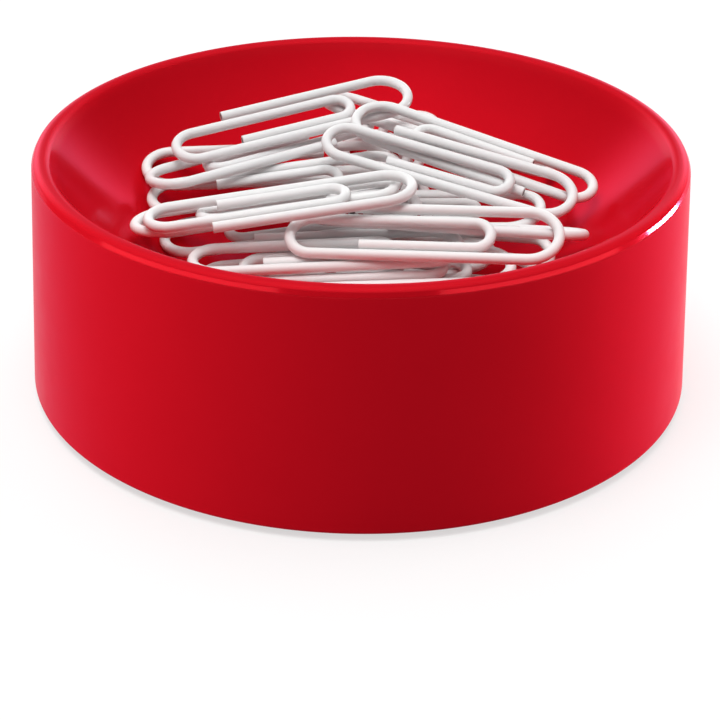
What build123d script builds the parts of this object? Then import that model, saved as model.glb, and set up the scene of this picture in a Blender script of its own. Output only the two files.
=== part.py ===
# Magnetic paper clip holder: a moulded drum with a round dish in its top, a magnet held under
# the dish by a steel plate and a screwed base cover, four rubber feet, and a heap of coated clips.
# Millimetres, +Z up, the origin is the centre of the base on the desk.
from build123d import *
import math
import os

import numpy as np
from scipy.optimize import linprog

# Drum
rim_diameter = 80.0
foot_diameter = 83.0
wall_thickness = 2.2
rim_width = 1.9
rim_outer_round = 1.2
rim_inner_round = 1.2
rim_land = 0.05
rim_outer_share = 0.7
foot_edge_round = 0.5

# Dish
dish_depth = 19.4
dish_thickness = 2.0

# Rubber feet
foot_count = 4
foot_stand = 0.8
foot_recess = 0.8
foot_pad_diameter = 9.0
foot_pad_round = 0.5
foot_inset = 8.5
foot_clearance = 0.15

# Base cover
cover_recess = 0.4
cover_thickness = 2.6
cover_ledge = 0.7
cover_clearance = 0.15
cover_chamfer = 0.4
cover_rib_thickness = 1.4
cover_rib_drop = 0.2

# Magnet and steel plate
magnet_diameter = 30.0
magnet_thickness = 4.2
magnet_chamfer = 0.5
magnet_clearance = 0.15
pocket_wall = 1.6
pocket_gap = 0.3
plate_margin = 1.5
plate_thickness = 1.2
plate_clearance = 0.15
plate_edge_chamfer = 0.2

# Screws and their bosses
screw_count = 4
screw_inset = 8.0
screw_diameter = 2.5
screw_length = 8.0
screw_point_length = 1.2
screw_point_diameter = 1.25
screw_head_diameter = 4.6
screw_head_height = 1.3
screw_head_round = 0.4
screw_head_sink = 0.1
screw_clearance = 0.1
head_clearance = 0.3
drive_slot_width = 0.7
drive_slot_length = 2.6
drive_slot_depth = 0.7
boss_diameter = 6.4
boss_web_thickness = 1.4
boss_web_rise = 3.0
pilot_spare_depth = 2.0

# Clips
wire_diameter = 1.3
clip_length = 33.0
clip_width = 8.6
outer_leg_gap = 0.6
inner_leg_gap = 0.2
inner_bend_setback = 8.0
outer_leg_reach = 25.0
inner_leg_reach = 24.0
heap_clearance = 0.1

# Settling of the heap
sample_spacing = 0.45
steepest_slope = 0.45
settling_rounds = 14
settling_step = 0.5

# Heap in laying order: steps of the grid east and north of the middle, heading of the double end,
# turned over or not
heap_grid = 0.5
heap = [
    (6, 18, 95, False),
    (10, 24, 106, False),
    (18, -6, -25, True),
    (-6, -20, 8, True),
    (10, -24, -8, False),
    (4, -30, 2, True),
    (-8, -26, 3, False),
    (6, 26, 72, True),
    (14, 4, -14, False),
    (-17, -3, 188, False),
    (-24, 26, 190, False),
    (-21, 9, 10, True),
    (-25, 23, 210, False),
    (20, 37, 164, True),
    (22, -17, -10, False),
    (15, -28, -6, False),
    (-22, -4, 189, False),
    (-18, 30, 22, False),
    (28, 14, 155, False),
    (22, 5, -21, False),
    (-23, -13, 186, False),
    (-19, -19, 9, True),
]

# Heights, from the desk up
wall_bottom = foot_stand
cover_bottom = wall_bottom + cover_recess
cover_top = cover_bottom + cover_thickness
foot_top = cover_bottom + foot_recess
screw_seat = cover_bottom + screw_head_height + screw_head_sink
plate_top = cover_top + plate_thickness
rib_top = plate_top - cover_rib_drop
ring_bottom = plate_top + pocket_gap
magnet_top = plate_top + magnet_thickness
dish_floor = magnet_top + dish_thickness
rim_top = dish_floor + dish_depth

# Radii
rim_radius = rim_diameter / 2
foot_radius = foot_diameter / 2
dish_edge_radius = rim_radius - rim_width
dish_radius = (dish_edge_radius**2 + dish_depth**2) / (2 * dish_depth)
dish_centre = dish_floor + dish_radius
under_radius = dish_radius + dish_thickness
hollow_top = dish_centre - math.sqrt(under_radius**2 - dish_edge_radius**2)
wall_lean = (foot_radius - rim_radius) / (rim_top - wall_bottom)
pocket_radius = magnet_diameter / 2 + magnet_clearance
plate_radius = magnet_diameter / 2 + plate_margin
pilot_radius = screw_diameter / 2 + screw_clearance
wire_radius = wire_diameter / 2


def outer_radius(height):
    """Radius of the leaning outside wall at a height."""
    return rim_radius + wall_lean * (rim_top - height)


ledge_radius = outer_radius(cover_top) - wall_thickness + cover_ledge
cover_radius = ledge_radius - cover_clearance
screw_circle_radius = cover_radius - screw_inset
foot_circle_radius = cover_radius - foot_inset
screw_places = PolarLocations(screw_circle_radius, screw_count)
foot_places = PolarLocations(foot_circle_radius, foot_count, start_angle=180 / foot_count)

# Rounds of the rim, kept within its width
dish_edge_slope = math.asin(dish_edge_radius / dish_radius)
rim_outer_fillet = min(rim_outer_round, rim_outer_share * rim_width)
rim_inner_room = rim_width - rim_outer_fillet - rim_land
rim_inner_fillet = min(rim_inner_round, rim_inner_room / math.tan(dish_edge_slope / 2))

os.makedirs("parts", exist_ok=True)


def save(piece, name):
    """Name a finished piece and write it out."""
    piece.part.label = name
    export_step(piece.part, "parts/" + name + ".step")


# Space inside the drum, open below: the dish's underside, the ring of the magnet and the screw
# bosses with their webs are left standing in it
with BuildPart() as hollow:
    with BuildSketch(Plane.XZ):
        with BuildLine():
            Polyline(
                (0, wall_bottom),
                (ledge_radius, wall_bottom),
                (ledge_radius, cover_top),
                (outer_radius(cover_top) - wall_thickness, cover_top),
                (outer_radius(hollow_top) - wall_thickness, hollow_top),
                (0, hollow_top),
                close=True,
            )
        make_face()
    revolve(axis=Axis.Z)
    with Locations((0, 0, dish_centre)):
        Sphere(under_radius, mode=Mode.SUBTRACT)
    with BuildSketch(Plane.XY.offset(ring_bottom)):
        Circle(pocket_radius + pocket_wall)
    extrude(amount=hollow_top - ring_bottom, mode=Mode.SUBTRACT)
    with BuildSketch(Plane.XY.offset(ring_bottom)):
        Circle(pocket_radius)
    extrude(amount=magnet_top - ring_bottom)
    with BuildSketch(Plane.XY.offset(cover_top)):
        with screw_places:
            Circle(boss_diameter / 2)
    extrude(amount=hollow_top - cover_top, mode=Mode.SUBTRACT)
    web_bottom = cover_top + boss_web_rise
    web_length = outer_radius(web_bottom) - screw_circle_radius
    with BuildSketch(Plane.XY.offset(web_bottom)):
        with PolarLocations(screw_circle_radius + web_length / 2, screw_count):
            Rectangle(web_length, boss_web_thickness)
    extrude(amount=hollow_top - web_bottom, mode=Mode.SUBTRACT)
    with BuildSketch(Plane.XY.offset(cover_top)):
        with screw_places:
            Circle(pilot_radius)
    extrude(amount=screw_seat + screw_length + pilot_spare_depth - cover_top)

# Drum with the dish in its top
with BuildPart() as bowl_shell:
    with BuildSketch(Plane.XZ):
        with BuildLine():
            Polyline(
                (0, wall_bottom),
                (foot_radius, wall_bottom),
                (rim_radius, rim_top),
                (0, rim_top),
                close=True,
            )
        make_face()
    revolve(axis=Axis.Z)
    add(hollow.part, mode=Mode.SUBTRACT)
    with Locations((0, 0, dish_centre)):
        Sphere(dish_radius, mode=Mode.SUBTRACT)
    rim_face = bowl_shell.faces().filter_by(GeomType.PLANE).sort_by(Axis.Z)[-1]
    fillet(rim_face.edges().sort_by(SortBy.RADIUS)[-1], rim_outer_fillet)
    rim_face = bowl_shell.faces().filter_by(GeomType.PLANE).sort_by(Axis.Z)[-1]
    fillet(rim_face.edges().sort_by(SortBy.RADIUS)[0], rim_inner_fillet)
    bottom_face = bowl_shell.faces().filter_by(GeomType.PLANE).sort_by(Axis.Z)[0]
    fillet(bottom_face.edges().sort_by(SortBy.RADIUS)[-1], foot_edge_round)
save(bowl_shell, "bowl_shell")

# Magnet that holds the clips in the dish
with BuildPart() as clip_magnet:
    with BuildSketch(Plane.XY.offset(plate_top)):
        Circle(magnet_diameter / 2)
    extrude(amount=magnet_thickness)
    chamfer(clip_magnet.edges(), magnet_chamfer)
save(clip_magnet, "clip_magnet")

# Steel plate behind the magnet, which also weighs the holder down
with BuildPart() as back_plate:
    with BuildSketch(Plane.XY.offset(cover_top)):
        Circle(plate_radius)
    extrude(amount=plate_thickness)
    chamfer(back_plate.edges(), plate_edge_chamfer)
save(back_plate, "back_plate")

# Base cover
with BuildPart() as base_cover:
    with BuildSketch(Plane.XY.offset(cover_bottom)):
        Circle(cover_radius)
    extrude(amount=cover_thickness)
    chamfer(base_cover.edges().group_by(Axis.Z)[0], cover_chamfer)
    with BuildSketch(Plane.XY.offset(cover_top)):
        Circle(plate_radius + plate_clearance + cover_rib_thickness)
        Circle(plate_radius + plate_clearance, mode=Mode.SUBTRACT)
    extrude(amount=rib_top - cover_top)
    with BuildSketch(Plane.XY.offset(cover_bottom)):
        with screw_places:
            Circle(pilot_radius)
    extrude(amount=cover_thickness, mode=Mode.SUBTRACT)
    with BuildSketch(Plane.XY.offset(cover_bottom)):
        with screw_places:
            Circle(screw_head_diameter / 2 + head_clearance)
    extrude(amount=screw_seat - cover_bottom, mode=Mode.SUBTRACT)
    with BuildSketch(Plane.XY.offset(cover_bottom)):
        with foot_places:
            Circle(foot_pad_diameter / 2 + foot_clearance)
    extrude(amount=foot_recess, mode=Mode.SUBTRACT)
save(base_cover, "base_cover")

# Screws, head down in the cover
for number, place in enumerate(screw_places.locations, start=1):
    with BuildPart(Plane(place.position)) as base_screw:
        with BuildSketch(Plane(place.position).offset(screw_seat - screw_head_height)):
            Circle(screw_head_diameter / 2)
        extrude(amount=screw_head_height)
        fillet(base_screw.edges().group_by(Axis.Z)[0], screw_head_round)
        with BuildSketch(Plane(place.position).offset(screw_seat)):
            Circle(screw_diameter / 2)
        extrude(amount=screw_length)
        point_edge = base_screw.edges().group_by(Axis.Z)[-1]
        chamfer(point_edge, screw_point_length, (screw_diameter - screw_point_diameter) / 2)
        with BuildSketch(Plane(place.position).offset(screw_seat - screw_head_height)):
            Rectangle(drive_slot_length, drive_slot_width)
            Rectangle(drive_slot_width, drive_slot_length)
        extrude(amount=drive_slot_depth, mode=Mode.SUBTRACT)
    save(base_screw, "base_screw_%d" % number)

# Rubber feet, pressed into the recesses of the cover
for number, place in enumerate(foot_places.locations, start=1):
    with BuildPart(Plane(place.position)) as rubber_foot:
        with BuildSketch(Plane(place.position)):
            Circle(foot_pad_diameter / 2)
        extrude(amount=foot_top)
        fillet(rubber_foot.edges().group_by(Axis.Z)[0], foot_pad_round)
    save(rubber_foot, "rubber_foot_%d" % number)

# Clip wire, flat in its own plane: free leg, big bend, long leg, second bend, inner leg,
# inner bend and the last free leg
first_bend = clip_width / 2 - wire_radius
second_bend = first_bend - (wire_diameter + outer_leg_gap) / 2
inner_bend = second_bend - (wire_diameter + inner_leg_gap) / 2
double_end = clip_length / 2
first_centre = double_end - wire_radius - first_bend
second_centre = -double_end + wire_radius + second_bend
inner_centre = double_end - inner_bend_setback - wire_radius - inner_bend
inner_side = 2 * second_bend - first_bend
last_side = inner_side - 2 * inner_bend


def wire_line():
    """Centre line of the clip wire."""
    with BuildLine() as line:
        Line((double_end - outer_leg_reach, first_bend), (first_centre, first_bend))
        CenterArc((first_centre, 0), first_bend, 90, -180)
        Line((first_centre, -first_bend), (second_centre, -first_bend))
        CenterArc((second_centre, inner_side - second_bend), second_bend, 270, -180)
        Line((second_centre, inner_side), (inner_centre, inner_side))
        CenterArc((inner_centre, inner_side - inner_bend), inner_bend, 90, -180)
        Line((inner_centre, last_side), (double_end - inner_leg_reach, last_side))
    return line.wires()[0]


clip_line = wire_line()
sample_count = math.ceil(clip_line.length / sample_spacing) + 1
sample_points = [clip_line.position_at(share) for share in np.linspace(0, 1, sample_count)]
wire_samples = np.array([(point.X, point.Y) for point in sample_points])


def clip_axes(heading, slope_x, slope_y):
    """Along, across and up directions of a clip that lies on a sloping plane."""
    up = np.array([-slope_x, -slope_y, 1.0])
    up /= np.linalg.norm(up)
    level = np.array([math.cos(heading), math.sin(heading), 0.0])
    along = level - np.dot(level, up) * up
    along /= np.linalg.norm(along)
    return along, np.cross(up, along), up


def floor_under(points, laid):
    """Lowest height the wire may have at each point, over the dish, its rim and the clips laid."""
    lift = wire_radius + heap_clearance
    reach = dish_radius - lift
    out = np.hypot(points[:, 0], points[:, 1])
    in_dish = out < dish_edge_radius * reach / dish_radius
    over_dish = dish_centre - np.sqrt(np.maximum(reach**2 - out**2, 0))
    floor = np.where(in_dish, over_dish, rim_top + lift)
    pitch = wire_diameter + heap_clearance
    for clip in laid:
        apart = ((points[:, None, :2] - clip[None, :, :2])**2).sum(axis=2)
        drop = np.sqrt(np.maximum(pitch**2 - apart, 0))
        over = np.where(apart < pitch**2, clip[None, :, 2] + drop, 0)
        floor = np.maximum(floor, over.max(axis=1))
    return floor


def settle(east, north, heading, turned, laid):
    """Let a clip come down flat on what is below it, as low as it will lie."""
    flat = wire_samples * (1, -1 if turned else 1)
    middle = np.array([east, north, 0.0])
    slope_x = 0.0
    slope_y = 0.0
    for turn in range(settling_rounds):
        along, across, up = clip_axes(heading, slope_x, slope_y)
        points = middle + flat[:, :1] * along + flat[:, 1:] * across
        floor = floor_under(points, laid)
        offset = points[:, :2] - middle[:2]
        limits = np.column_stack([np.ones(len(points)), offset])
        slopes = (-steepest_slope, steepest_slope)
        rest = linprog(
            limits.mean(axis=0),
            A_ub=-limits,
            b_ub=-floor,
            bounds=[(None, None), slopes, slopes],
        )
        step = settling_step if turn else 1.0
        slope_x += step * (rest.x[1] - slope_x)
        slope_y += step * (rest.x[2] - slope_y)
    along, across, up = clip_axes(heading, slope_x, slope_y)
    points = middle + flat[:, :1] * along + flat[:, 1:] * across
    lift = (floor_under(points, laid) - points[:, 2]).max()
    face = -up if turned else up
    origin = (east, north, lift)
    plane = Plane(origin=origin, x_dir=tuple(along), z_dir=tuple(face))
    return plane, points + (0, 0, lift)


# Clips of the heap
laid_clips = []
for number, (east_steps, north_steps, heading, turned) in enumerate(heap, start=1):
    east = heap_grid * east_steps
    north = heap_grid * north_steps
    clip_plane, clip_points = settle(east, north, math.radians(heading), turned, laid_clips)
    laid_clips.append(clip_points)
    clip_path = clip_plane.location * clip_line
    with BuildPart() as paper_clip:
        with BuildSketch(Plane(origin=clip_path @ 0, z_dir=clip_path % 0)):
            Circle(wire_radius)
        sweep(path=clip_path)
    save(paper_clip, "paper_clip_%02d" % number)
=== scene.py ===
# Looks of a magnetic paper clip holder: a glossy moulded drum with a dish in its top, a heap of
# vinyl-coated clips in the dish, and a screwed base cover with rubber feet.
# Metres, +Z up, the origin is the centre of the base on the desk.
import math

import bmesh
import bpy
from mathutils import Matrix, Quaternion, Vector


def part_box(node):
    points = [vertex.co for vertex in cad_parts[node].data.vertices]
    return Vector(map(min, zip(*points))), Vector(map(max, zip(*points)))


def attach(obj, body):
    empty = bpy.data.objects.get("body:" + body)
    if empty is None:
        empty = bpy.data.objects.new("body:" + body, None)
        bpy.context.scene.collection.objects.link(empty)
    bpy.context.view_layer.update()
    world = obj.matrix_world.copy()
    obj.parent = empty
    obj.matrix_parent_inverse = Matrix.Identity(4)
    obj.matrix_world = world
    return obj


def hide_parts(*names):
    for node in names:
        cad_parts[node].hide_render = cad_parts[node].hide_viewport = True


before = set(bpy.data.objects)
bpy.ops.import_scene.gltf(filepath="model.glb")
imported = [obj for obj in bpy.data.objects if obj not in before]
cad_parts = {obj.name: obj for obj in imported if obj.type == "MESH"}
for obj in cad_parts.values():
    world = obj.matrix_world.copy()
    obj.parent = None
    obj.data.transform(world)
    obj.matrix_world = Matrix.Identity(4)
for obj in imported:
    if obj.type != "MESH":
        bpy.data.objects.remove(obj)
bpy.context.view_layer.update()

mm = 0.001

# Drum, as the solids have it
rim_radius = 40.0 * mm
foot_radius = 41.5 * mm
rim_width = 1.9 * mm
rim_outer_round = 1.2 * mm
rim_inner_round = 1.2 * mm
foot_edge_round = 0.5 * mm
wall_thickness = 2.2 * mm
dish_depth = 19.4 * mm
dish_thickness = 2.0 * mm
cover_ledge = 0.7 * mm

# Narrow polished flat low on the rim's outer round, between two angles from straight up, with
# loops of points at these shares of its width
flat_start = math.radians(49)
flat_end = math.radians(75)
flat_shares = (0.08, 0.92, 1.0)

# How far down the outer round the rim's polish goes, as a share of the round
shoulder_share = 0.9

# Fineness of the drum's mesh
drum_turns = 288
dish_steps = 72
under_steps = 40
rim_steps = 12
below_flat_steps = 5
foot_steps = 8
drum_sharp_angle = math.radians(40)
merge_distance = 0.001 * mm

# Clip wire, flat in its own plane, as the solids have it
wire_radius = 0.65 * mm
clip_length = 33.0 * mm
clip_width = 8.6 * mm
outer_leg_gap = 0.6 * mm
inner_leg_gap = 0.2 * mm
inner_bend_setback = 8.0 * mm
outer_leg_reach = 25.0 * mm
inner_leg_reach = 24.0 * mm
coat_thickness = 0.22 * mm
core_recess = 0.06 * mm
cut_edge_round = 0.07 * mm

# Fineness of a clip's mesh, and the angle that tells the solid's square-cut ends
wire_sides = 20
bend_steps = 28
leg_cuts = 6
cut_edge_steps = 3
clip_sharp_angle = math.radians(50)
square_cut_angle = math.radians(60)

# Camera of the photograph, whose image is 720 pixels square
image_size = 720
camera_elevation = math.radians(28.64)
camera_roll = math.radians(0.69)
camera_distance = 261.0 * mm
focal_pixels = 2013.0
optic_centre = (358.7, 363.6)
sensor_width = 36.0
nearest_seen = 0.01
farthest_seen = 20.0

# Tones of the finishes: each surface drifts between the two
red_tones = ((0.55, 0.004, 0.011), (0.6, 0.005, 0.013))
base_tones = ((0.36, 0.006, 0.013), (0.42, 0.008, 0.016))
white_tones = ((0.8, 0.79, 0.795), (0.86, 0.86, 0.855))
steel_tones = ((0.22, 0.21, 0.2), (0.3, 0.29, 0.28))
zinc_tones = ((0.55, 0.56, 0.58), (0.66, 0.66, 0.67))
rubber_tones = ((0.02, 0.02, 0.02), (0.035, 0.035, 0.035))
ferrite_tones = ((0.03, 0.03, 0.03), (0.06, 0.06, 0.06))
clip_tone_step = 0.618

# Shares that the finishes mix in
grain_share = 0.12
wall_dullness = 0.16
rim_shine = 0.055
scratch_dullness = 0.15
scratch_polish = -0.12
scratch_turns = (20.0, 75.0, 140.0)

# Floor
floor_half_size = 0.9
floor_tone = 0.33
floor_glow = 0.62

# Drum radii and heights that follow
drum_low, drum_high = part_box("bowl_shell")
wall_bottom = drum_low.z
rim_top = drum_high.z
cover_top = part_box("back_plate")[0].z
dish_edge_radius = rim_radius - rim_width
dish_radius = (dish_edge_radius**2 + dish_depth**2) / (2 * dish_depth)
dish_floor = rim_top - dish_depth
dish_centre = dish_floor + dish_radius
wall_lean = (foot_radius - rim_radius) / (rim_top - wall_bottom)
lean_angle = math.atan(wall_lean)


def outer_radius(height):
    """Radius of the leaning outside wall at a height."""
    return rim_radius + wall_lean * (rim_top - height)


def on_section(radius, height):
    """Point of the drum's section, which lies in the XZ plane."""
    return Vector((radius, 0, height))


def draw_to(section, last, point):
    """Straight run of a section from its last point to a new one."""
    made = bmesh.ops.extrude_vert_indiv(section, verts=[last])
    made["verts"][0].co = point
    return made["verts"][0]


def swing(section, last, centre, turn, steps):
    """Round run of a section: its last point turned about a centre, from up towards outwards."""
    made = bmesh.ops.spin(
        section, geom=[last], cent=centre, axis=(0, 1, 0), angle=turn, steps=steps
    )
    return next(part for part in made["geom_last"] if isinstance(part, bmesh.types.BMVert))


def finish_piece(shape, name, body, node, finishes, sharp_angle):
    """Make a piece of a shape; it rides a body, stands for a solid and takes its finishes."""
    mesh = bpy.data.meshes.new(name)
    shape.to_mesh(mesh)
    shape.free()
    for finish in finishes:
        mesh.materials.append(finish)
    mesh.shade_smooth()
    mesh.set_sharp_from_angle(angle=sharp_angle)
    piece = bpy.data.objects.new(name, mesh)
    bpy.context.scene.collection.objects.link(piece)
    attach(piece, body)
    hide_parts(node)
    return piece


def mark_points(piece, name, rule):
    """Attribute of a piece: 1 at the points where a rule holds, 0 at the others."""
    marks = piece.data.attributes.new(name, "FLOAT", "POINT")
    for point, mark in zip(piece.data.vertices, marks.data):
        mark.value = 1.0 if rule(point.co) else 0.0


def make_drum(finish):
    """Drum spun from its section: dish, rounded rim, leaning wall, foot ring, hollow underside."""
    section = bmesh.new()
    dish_middle = on_section(0, dish_centre)
    # The inner round touches the dish and the level rim, the outer round the rim and the wall
    inner_height = rim_top - rim_inner_round
    inner_reach = dish_radius + rim_inner_round
    inner_slope = math.acos((dish_centre - inner_height) / inner_reach)
    inner_round_middle = on_section(inner_reach * math.sin(inner_slope), inner_height)
    outer_height = rim_top - rim_outer_round
    outer_inset = rim_outer_round / math.cos(lean_angle)
    outer_round_middle = on_section(outer_radius(outer_height) - outer_inset, outer_height)
    foot_height = wall_bottom + foot_edge_round
    foot_inset = foot_edge_round / math.cos(lean_angle)
    foot_round_middle = on_section(outer_radius(foot_height) - foot_inset, foot_height)
    wall_normal = Vector((math.cos(lean_angle), 0, math.sin(lean_angle)))

    point = section.verts.new(on_section(0, dish_floor))
    point = swing(section, point, dish_middle, -inner_slope, dish_steps)
    point = swing(section, point, inner_round_middle, inner_slope, rim_steps)
    point = draw_to(section, point, on_section(outer_round_middle.x, rim_top))
    point = swing(section, point, outer_round_middle, flat_start, rim_steps)
    flat_high = point.co.copy()
    flat_end_way = on_section(math.sin(flat_end), math.cos(flat_end))
    flat_low = outer_round_middle + rim_outer_round * flat_end_way
    for share in flat_shares:
        point = draw_to(section, point, flat_high.lerp(flat_low, share))
    below_flat = math.pi / 2 - lean_angle - flat_end
    point = swing(section, point, outer_round_middle, below_flat, below_flat_steps)
    point = draw_to(section, point, foot_round_middle + foot_edge_round * wall_normal)
    point = swing(section, point, foot_round_middle, math.pi / 2 + lean_angle, foot_steps)
    # Hollow side, from the foot ring round to the underside of the dish
    ledge_radius = outer_radius(cover_top) - wall_thickness + cover_ledge
    under_radius = dish_radius + dish_thickness
    under_slope = math.asin(dish_edge_radius / under_radius)
    hollow_top = dish_centre - under_radius * math.cos(under_slope)
    point = draw_to(section, point, on_section(ledge_radius, wall_bottom))
    point = draw_to(section, point, on_section(ledge_radius, cover_top))
    point = draw_to(section, point, on_section(outer_radius(cover_top) - wall_thickness, cover_top))
    point = draw_to(section, point, on_section(outer_radius(hollow_top) - wall_thickness, hollow_top))
    point = draw_to(section, point, on_section(dish_edge_radius, hollow_top))
    swing(section, point, dish_middle, under_slope, under_steps)
    bmesh.ops.spin(
        section,
        geom=section.verts[:] + section.edges[:],
        cent=(0, 0, 0),
        axis=(0, 0, 1),
        angle=2 * math.pi,
        steps=drum_turns,
        use_merge=True,
    )
    bmesh.ops.remove_doubles(section, verts=section.verts, dist=merge_distance)
    bmesh.ops.recalc_face_normals(section, faces=section.faces)
    drum = finish_piece(
        section, "drum", "holder", "bowl_shell", [finish], drum_sharp_angle
    )
    # The dish and the rim come out of the mould polished, the wall a little duller
    shoulder = rim_top - shoulder_share * rim_outer_round
    mark_points(drum, "rim", lambda point: point.z > shoulder)
    mark_points(
        drum, "polish", lambda point: point.z > shoulder or point.xy.length < dish_edge_radius
    )


# Bends and legs of the flat clip: the double end lies towards +X, the outer leg towards +Y
first_bend = clip_width / 2 - wire_radius
second_bend = first_bend - wire_radius - outer_leg_gap / 2
inner_bend = second_bend - wire_radius - inner_leg_gap / 2
double_end = clip_length / 2
inner_side = 2 * second_bend - first_bend
last_side = inner_side - 2 * inner_bend
first_bend_centre = Vector((double_end - wire_radius - first_bend, 0, 0))
second_bend_centre = Vector((wire_radius + second_bend - double_end, inner_side - second_bend, 0))
inner_head = double_end - inner_bend_setback
inner_bend_centre = Vector((inner_head - wire_radius - inner_bend, inner_side - inner_bend, 0))
outer_leg_end = Vector((double_end - outer_leg_reach, first_bend, 0))
inner_leg_end = Vector((double_end - inner_leg_reach, last_side, 0))


def run_leg(wire, ring, start, end):
    """Straight leg of a clip: the open ring of wire pulled along, with cross cuts."""
    for cut in range(leg_cuts):
        made = bmesh.ops.extrude_edge_only(wire, edges=ring)["geom"]
        points = [part for part in made if isinstance(part, bmesh.types.BMVert)]
        edges = [part for part in made if isinstance(part, bmesh.types.BMEdge)]
        bmesh.ops.translate(wire, verts=points, vec=Vector((end - start, 0, 0)) / leg_cuts)
        ring = [edge for edge in edges if edge.verts[0] in points and edge.verts[1] in points]
    return ring


def run_bend(wire, ring, centre):
    """Half-round bend of a clip, clockwise about its centre."""
    made = bmesh.ops.spin(
        wire, geom=ring, cent=centre, axis=(0, 0, -1), angle=math.pi, steps=bend_steps
    )
    return [part for part in made["geom_last"] if isinstance(part, bmesh.types.BMEdge)]


def clip_wire():
    """Coated wire of one clip, flat, with its ends cut square to show the steel core."""
    wire = bmesh.new()
    bmesh.ops.create_circle(
        wire,
        segments=wire_sides,
        radius=wire_radius,
        matrix=Matrix.Translation(outer_leg_end) @ Matrix.Rotation(math.pi / 2, 4, "Y"),
    )
    ring = wire.edges[:]
    ring = run_leg(wire, ring, outer_leg_end.x, first_bend_centre.x)
    ring = run_bend(wire, ring, first_bend_centre)
    ring = run_leg(wire, ring, first_bend_centre.x, second_bend_centre.x)
    ring = run_bend(wire, ring, second_bend_centre)
    ring = run_leg(wire, ring, second_bend_centre.x, inner_bend_centre.x)
    ring = run_bend(wire, ring, inner_bend_centre)
    run_leg(wire, ring, inner_bend_centre.x, inner_leg_end.x)
    open_edges = [edge for edge in wire.edges if edge.is_boundary]
    bmesh.ops.holes_fill(wire, edges=open_edges, sides=wire_sides)
    bmesh.ops.recalc_face_normals(wire, faces=wire.faces)
    bmesh.ops.bevel(
        wire,
        geom=open_edges,
        offset=cut_edge_round,
        offset_type="OFFSET",
        affect="EDGES",
        segments=cut_edge_steps,
        profile=0.5,
        material=-1,
    )
    for cap in [face for face in wire.faces if len(face.verts) == wire_sides]:
        bmesh.ops.inset_region(wire, faces=[cap], thickness=coat_thickness - cut_edge_round)
        recess = bmesh.ops.inset_region(
            wire, faces=[cap], thickness=core_recess / 3, depth=-core_recess
        )["faces"]
        for face in recess + [cap]:
            face.material_index = 1
    return wire


def clip_placing(node):
    """Where a clip lies, from the two square-cut ends of its solid."""
    solid = bmesh.new()
    solid.from_mesh(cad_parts[node].data)
    bmesh.ops.remove_doubles(solid, verts=solid.verts, dist=merge_distance)
    corners = [
        point
        for point in solid.verts
        if any(edge.is_manifold and edge.calc_face_angle() > square_cut_angle for edge in point.link_edges)
    ]
    end_reach = 3 * wire_radius
    near = [point for point in corners if (point.co - corners[0].co).length < end_reach]
    far = [point for point in corners if (point.co - corners[0].co).length >= end_reach]
    ends = [sum((point.co for point in ring), Vector()) / len(ring) for ring in (near, far)]
    caps = [face for face in solid.faces if all(point in near for point in face.verts)]
    along = -caps[0].normal
    # The outer leg's end lies further from the double end than the inner leg's
    outer_end, inner_end = sorted(ends, key=along.dot)
    across = outer_end - inner_end
    across = (across - across.dot(along) * along).normalized()
    placing = Matrix((along, across, along.cross(across))).transposed().to_4x4()
    placing.translation = outer_end - placing.to_3x3() @ outer_leg_end
    solid.free()
    return placing


def make_clip(number, coat, core):
    """One clip of the heap, with its own slight tone of white."""
    node = "paper_clip_%02d" % number
    wire = clip_wire()
    bmesh.ops.transform(wire, matrix=clip_placing(node), verts=wire.verts)
    body = "clip_%02d" % number
    piece = finish_piece(
        wire, "coated_clip_%02d" % number, body, node, [coat, core], clip_sharp_angle
    )
    tone = piece.data.attributes.new("clip_tone", "FLOAT", "POINT")
    share = (number * clip_tone_step) % 1
    tone.data.foreach_set("value", [share] * len(piece.data.vertices))


def add_node(tree, kind, inputs, **settings):
    """Node with its settings; an input takes a value or another node's output."""
    made = tree.nodes.new("ShaderNode" + kind)
    for name, value in settings.items():
        setattr(made, name, value)
    for name, value in inputs.items():
        if isinstance(value, bpy.types.NodeSocket):
            tree.links.new(value, made.inputs[name])
        else:
            made.inputs[name].default_value = value
    return made


def new_group(name, inputs, outputs):
    """Empty shader group with named number inputs and outputs."""
    tree = bpy.data.node_groups.new(name, "ShaderNodeTree")
    for socket, value in inputs.items():
        made = tree.interface.new_socket(socket, in_out="INPUT", socket_type="NodeSocketFloat")
        made.default_value = value
    for socket in outputs:
        tree.interface.new_socket(socket, in_out="OUTPUT", socket_type="NodeSocketFloat")
    entry = tree.nodes.new("NodeGroupInput")
    leave = tree.nodes.new("NodeGroupOutput")
    return tree, entry.outputs, leave.inputs


def moulded_skin():
    """Skin of moulded plastic: faint ripple, fine grain and a slow drift of tone."""
    tree, given, put = new_group(
        "moulded_skin", {"Ripple Scale": 300.0, "Grain Scale": 4000.0}, ("Height", "Tone", "Rub")
    )
    place = add_node(tree, "TexCoord", {}).outputs["Object"]
    ripple = add_node(tree, "TexNoise", {"Vector": place, "Scale": given["Ripple Scale"], "Detail": 1.0})
    grain = add_node(tree, "TexNoise", {"Vector": place, "Scale": given["Grain Scale"], "Detail": 2.0})
    drift = add_node(tree, "TexNoise", {"Vector": place, "Scale": 60.0, "Detail": 3.0})
    rub = add_node(tree, "TexNoise", {"Vector": place, "Scale": 170.0, "Detail": 5.0, "Roughness": 0.65})
    fine = add_node(tree, "Math", {0: grain.outputs["Fac"], 1: grain_share}, operation="MULTIPLY")
    height = add_node(tree, "Math", {0: ripple.outputs["Fac"], 1: fine.outputs[0]}, operation="ADD")
    tree.links.new(height.outputs[0], put["Height"])
    tree.links.new(drift.outputs["Fac"], put["Tone"])
    tree.links.new(rub.outputs["Fac"], put["Rub"])
    return tree


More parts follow.
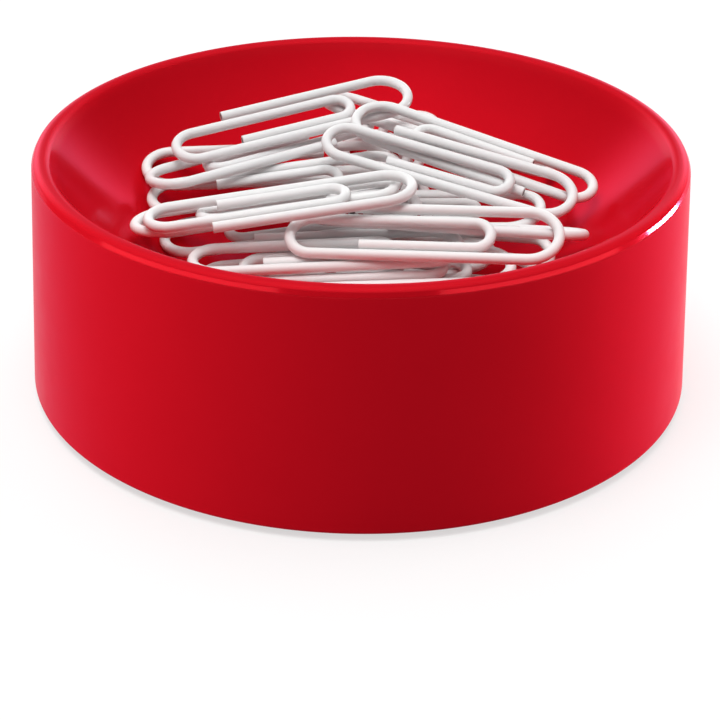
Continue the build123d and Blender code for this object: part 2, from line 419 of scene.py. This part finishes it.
def hairline_marks():
    """Fine scratches: thin bands of noise drawn out three ways and broken up."""
    tree, given, put = new_group("hairline_marks", {"Scale": 90.0, "Width": 0.01}, ("Marks",))
    place = add_node(tree, "TexCoord", {}).outputs["Object"]
    total = None
    for turn in scratch_turns:
        stretched = add_node(
            tree,
            "Mapping",
            {"Vector": place, "Rotation": (0, 0, math.radians(turn)), "Scale": (0.06, 1.0, 0.3)},
        )
        drawn = add_node(
            tree,
            "TexNoise",
            {"Vector": stretched.outputs[0], "Scale": given["Scale"], "Detail": 6.0, "Roughness": 0.7},
        )
        middle = add_node(tree, "Math", {0: drawn.outputs["Fac"], 1: 0.5}, operation="SUBTRACT")
        apart = add_node(tree, "Math", {0: middle.outputs[0]}, operation="ABSOLUTE")
        line = add_node(tree, "Math", {0: apart.outputs[0], 1: given["Width"]}, operation="LESS_THAN")
        if total is None:
            total = line.outputs[0]
        else:
            total = add_node(tree, "Math", {0: total, 1: line.outputs[0]}, operation="MAXIMUM").outputs[0]
    patch = add_node(tree, "TexNoise", {"Vector": place, "Scale": 160.0, "Detail": 2.0})
    here = add_node(
        tree,
        "MapRange",
        {"Value": patch.outputs["Fac"], "From Min": 0.5, "From Max": 0.62},
    )
    broken = add_node(tree, "Math", {0: total, 1: here.outputs[0]}, operation="MULTIPLY")
    tree.links.new(broken.outputs[0], put["Marks"])
    return tree


def new_finish(name):
    """Empty material, with its tree and its shader."""
    finish = bpy.data.materials.new(name)
    finish.use_nodes = True
    tree = finish.node_tree
    return finish, tree, tree.nodes["Principled BSDF"]


def place_group(tree, group, inputs):
    """Shared effect placed in a material with its own values."""
    made = tree.nodes.new("ShaderNodeGroup")
    made.node_tree = group
    for name, value in inputs.items():
        made.inputs[name].default_value = value
    return made.outputs


def spread(tree, value, low, high):
    """Number that goes from low to high as a varying value goes over its middle range."""
    made = add_node(
        tree,
        "MapRange",
        {"Value": value, "From Min": 0.3, "From Max": 0.7, "To Min": low, "To Max": high},
    )
    return made.outputs[0]


def two_tone(tree, share, tones):
    """Colour between two tones."""
    first, second = tones
    made = add_node(
        tree, "Mix", {0: share, 6: (*first, 1.0), 7: (*second, 1.0)}, data_type="RGBA"
    )
    return made.outputs[2]


def bump(tree, shader, height, strength, distance):
    """Bump of the surface from a height."""
    made = add_node(tree, "Bump", {"Height": height, "Strength": strength, "Distance": distance})
    tree.links.new(made.outputs[0], shader.inputs["Normal"])


def red_gloss(skin):
    """Glossy red plastic of the drum: red reflections, a duller wall and a hard shine on the rim."""
    finish, tree, shader = new_finish("red_gloss")
    surface = place_group(tree, skin, {"Ripple Scale": 260.0, "Grain Scale": 5000.0})
    polish = add_node(tree, "Attribute", {}, attribute_name="polish").outputs["Fac"]
    rim = add_node(tree, "Attribute", {}, attribute_name="rim").outputs["Fac"]
    colour = two_tone(tree, surface["Tone"], red_tones)
    gloss = spread(tree, surface["Rub"], low=0.12, high=0.18)
    dull = add_node(tree, "MapRange", {"Value": polish, "To Min": wall_dullness, "To Max": 0.0}).outputs[0]
    rough = add_node(tree, "Math", {0: gloss, 1: dull}, operation="ADD").outputs[0]
    tree.links.new(colour, shader.inputs["Base Color"])
    tree.links.new(rough, shader.inputs["Roughness"])
    shine = add_node(tree, "Math", {0: rim, 1: rim_shine}, operation="MULTIPLY").outputs[0]
    tree.links.new(shine, shader.inputs["Coat Weight"])
    shader.inputs["Coat Roughness"].default_value = 0.06
    shader.inputs["Metallic"].default_value = 0.14
    shader.inputs["Specular IOR Level"].default_value = 0.012
    shader.inputs["Specular Tint"].default_value = (1.0, 0.3, 1.0, 1.0)
    bump(tree, shader, surface["Height"], strength=0.06, distance=0.05 * mm)
    return finish


def white_coat(skin):
    """White vinyl coat of the clips."""
    finish, tree, shader = new_finish("white_coat")
    surface = place_group(tree, skin, {"Ripple Scale": 900.0, "Grain Scale": 9000.0})
    tone = add_node(tree, "Attribute", {}, attribute_name="clip_tone")
    drift = add_node(tree, "Math", {0: surface["Tone"], 1: tone.outputs["Fac"]}, operation="ADD")
    share = add_node(tree, "Math", {0: drift.outputs[0], 1: 0.5}, operation="MULTIPLY")
    colour = two_tone(tree, share.outputs[0], white_tones)
    tree.links.new(colour, shader.inputs["Base Color"])
    gloss = spread(tree, surface["Rub"], low=0.3, high=0.42)
    tree.links.new(gloss, shader.inputs["Roughness"])
    bump(tree, shader, surface["Height"], strength=0.12, distance=0.03 * mm)
    return finish


def metal_finish(name, skin, marks, tones, rough):
    """Bare or plated metal with drawn scratches."""
    finish, tree, shader = new_finish(name)
    surface = place_group(tree, skin, {"Ripple Scale": 700.0, "Grain Scale": 9000.0})
    scratched = place_group(tree, marks, {"Scale": 300.0, "Width": 0.02})["Marks"]
    colour = two_tone(tree, surface["Tone"], tones)
    gloss = spread(tree, surface["Rub"], low=rough - 0.06, high=rough + 0.08)
    scuff = add_node(tree, "Math", {0: scratched, 1: scratch_dullness}, operation="MULTIPLY")
    worn = add_node(tree, "Math", {0: gloss, 1: scuff.outputs[0]}, operation="ADD")
    tree.links.new(colour, shader.inputs["Base Color"])
    tree.links.new(worn.outputs[0], shader.inputs["Roughness"])
    shader.inputs["Metallic"].default_value = 1.0
    bump(tree, shader, surface["Height"], strength=0.1, distance=0.02 * mm)
    return finish


def dull_finish(name, skin, marks, tones, rough, grain):
    """Dull surface with an even grain and rubbed places: textured plastic, rubber, ferrite."""
    finish, tree, shader = new_finish(name)
    surface = place_group(tree, skin, {"Ripple Scale": grain, "Grain Scale": 4 * grain})
    scratched = place_group(tree, marks, {"Scale": 140.0, "Width": 0.012})["Marks"]
    colour = two_tone(tree, surface["Tone"], tones)
    gloss = spread(tree, surface["Rub"], low=rough - 0.08, high=rough + 0.08)
    rubbed = add_node(tree, "Math", {0: scratched, 1: scratch_polish}, operation="MULTIPLY")
    worn = add_node(tree, "Math", {0: gloss, 1: rubbed.outputs[0]}, operation="ADD")
    tree.links.new(colour, shader.inputs["Base Color"])
    tree.links.new(worn.outputs[0], shader.inputs["Roughness"])
    bump(tree, shader, surface["Height"], strength=0.35, distance=0.05 * mm)
    return finish


def dress_node(node, finish):
    """Give a solid that shows as it is its finish."""
    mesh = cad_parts[node].data
    mesh.materials.clear()
    mesh.materials.append(finish)


skin_group = moulded_skin()
marks_group = hairline_marks()
steel = metal_finish("core_steel", skin_group, marks_group, steel_tones, rough=0.4)
zinc = metal_finish("zinc_plate", skin_group, marks_group, zinc_tones, rough=0.32)
rubber = dull_finish("foot_rubber", skin_group, marks_group, rubber_tones, rough=0.8, grain=1500.0)
ferrite = dull_finish(
    "pressed_ferrite", skin_group, marks_group, ferrite_tones, rough=0.6, grain=2500.0
)
base_red = dull_finish("textured_red", skin_group, marks_group, base_tones, rough=0.5, grain=2200.0)

make_drum(red_gloss(skin_group))
coat = white_coat(skin_group)
clip_nodes = [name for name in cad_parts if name.startswith("paper_clip")]
for number in range(1, len(clip_nodes) + 1):
    make_clip(number, coat, steel)
dress_node("base_cover", base_red)
dress_node("clip_magnet", ferrite)
dress_node("back_plate", zinc)
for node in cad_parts:
    if node.startswith("base_screw"):
        dress_node(node, zinc)
    if node.startswith("rubber_foot"):
        dress_node(node, rubber)


# Stage: white floor that keeps the shadow, soft lamps and an uneven room
def make_floor():
    """Large pale floor, white to the camera and in reflections."""
    sheet = bmesh.new()
    bmesh.ops.create_grid(sheet, x_segments=1, y_segments=1, size=floor_half_size)
    mesh = bpy.data.meshes.new("floor")
    sheet.to_mesh(mesh)
    sheet.free()
    finish, tree, shader = new_finish("floor_white")
    shader.inputs["Base Color"].default_value = (floor_tone, floor_tone, floor_tone, 1.0)
    shader.inputs["Roughness"].default_value = 0.9
    shader.inputs["Emission Color"].default_value = (1.0, 1.0, 1.0, 1.0)
    path = add_node(tree, "LightPath", {})
    seen = path.outputs["Is Camera Ray"]
    for ray in ("Is Glossy Ray", "Is Transmission Ray"):
        seen = add_node(tree, "Math", {0: seen, 1: path.outputs[ray]}, operation="MAXIMUM").outputs[0]
    glow = add_node(tree, "Math", {0: seen, 1: floor_glow}, operation="MULTIPLY")
    tree.links.new(glow.outputs[0], shader.inputs["Emission Strength"])
    mesh.materials.append(finish)
    floor = bpy.data.objects.new("floor", mesh)
    bpy.context.scene.collection.objects.link(floor)


def make_lamp(name, place, size, power, aim_height, roll=0.0, card=False):
    """Soft lamp that faces the drum's axis: a panel lights surfaces, a card only shows in gloss."""
    lamp = bpy.data.lights.new(name, "AREA")
    lamp.shape = "RECTANGLE"
    lamp.size, lamp.size_y = size
    lamp.energy = power
    stand = bpy.data.objects.new(name, lamp)
    stand.location = place
    stand.rotation_mode = "QUATERNION"
    level = (Vector((0, 0, aim_height)) - Vector(place)).to_track_quat("-Z", "Y")
    stand.rotation_quaternion = level @ Quaternion((0, 0, 1), roll)
    stand.visible_glossy = card
    stand.visible_diffuse = not card
    bpy.context.scene.collection.objects.link(stand)


def make_room(even, lobes):
    """Soft light from all round, with brighter lobes that show no edges in the gloss."""
    room = bpy.data.worlds.new("room")
    room.use_nodes = True
    tree = room.node_tree
    way = add_node(tree, "TexCoord", {}).outputs["Generated"]
    light = even
    for toward, level, focus in lobes:
        facing = add_node(
            tree, "VectorMath", {0: way, 1: Vector(toward).normalized()}, operation="DOT_PRODUCT"
        )
        ahead = add_node(tree, "Math", {0: facing.outputs["Value"], 1: 0.0}, operation="MAXIMUM")
        lobe = add_node(tree, "Math", {0: ahead.outputs[0], 1: focus}, operation="POWER")
        light = add_node(
            tree, "Math", {0: lobe.outputs[0], 1: level, 2: light}, operation="MULTIPLY_ADD"
        ).outputs[0]
    tree.links.new(light, tree.nodes["Background"].inputs["Strength"])
    tree.nodes["Background"].inputs["Color"].default_value = (1.0, 1.0, 1.0, 1.0)
    bpy.context.scene.world = room


def make_camera():
    """Camera of the photograph."""
    lens = bpy.data.cameras.new("camera")
    lens.sensor_width = sensor_width
    lens.lens = focal_pixels / image_size * sensor_width
    lens.shift_x = (image_size / 2 - optic_centre[0]) / image_size
    lens.shift_y = (optic_centre[1] - image_size / 2) / image_size
    lens.clip_start = nearest_seen
    lens.clip_end = farthest_seen
    camera = bpy.data.objects.new("camera", lens)
    back = Vector((0, -math.cos(camera_elevation), math.sin(camera_elevation)))
    camera.location = camera_distance * back
    camera.rotation_mode = "QUATERNION"
    level = (-back).to_track_quat("-Z", "Y")
    camera.rotation_quaternion = level @ Quaternion((0, 0, 1), camera_roll)
    bpy.context.scene.collection.objects.link(camera)
    bpy.context.scene.camera = camera


# Lobes of the room: the way they lie, their level and how narrow they are
overhead = ((-0.1, 0.05, 1), 1.9, 4.0)
back_right = ((0.365, 0.903, 0.225), 3.2, 25.0)
back_left = ((-0.468, 0.845, 0.259), 3.2, 25.0)

make_floor()
make_room(even=0.02, lobes=(overhead, back_right, back_left))
make_lamp("key_panel", place=(-0.06, -0.14, 0.58), size=(0.3, 0.3), power=1.65, aim_height=0.02)
make_lamp("left_panel", place=(-0.52, -0.035, 0.024), size=(0.6, 0.045), power=2.45, aim_height=0.015)
make_lamp(
    "streak_card",
    place=(0.45, 0.21, 0.048),
    size=(0.19, 0.02),
    power=3.0,
    aim_height=0.03,
    roll=math.radians(-23),
    card=True,
)
make_lamp("side_panel", place=(0.474, 0.158, 0.0215), size=(0.4, 0.04), power=4.0, aim_height=0.015)
for name, side, power in (("right_card", 1, 0.75), ("left_card", -1, 0.68)):
    make_lamp(
        name,
        place=(side * 0.404, -0.233, 0.209),
        size=(0.6, 0.09),
        power=power,
        aim_height=0.03,
        roll=math.radians(-10.5 * side),
        card=True,
    )
make_camera()
bpy.context.scene.view_settings.view_transform = "Standard"
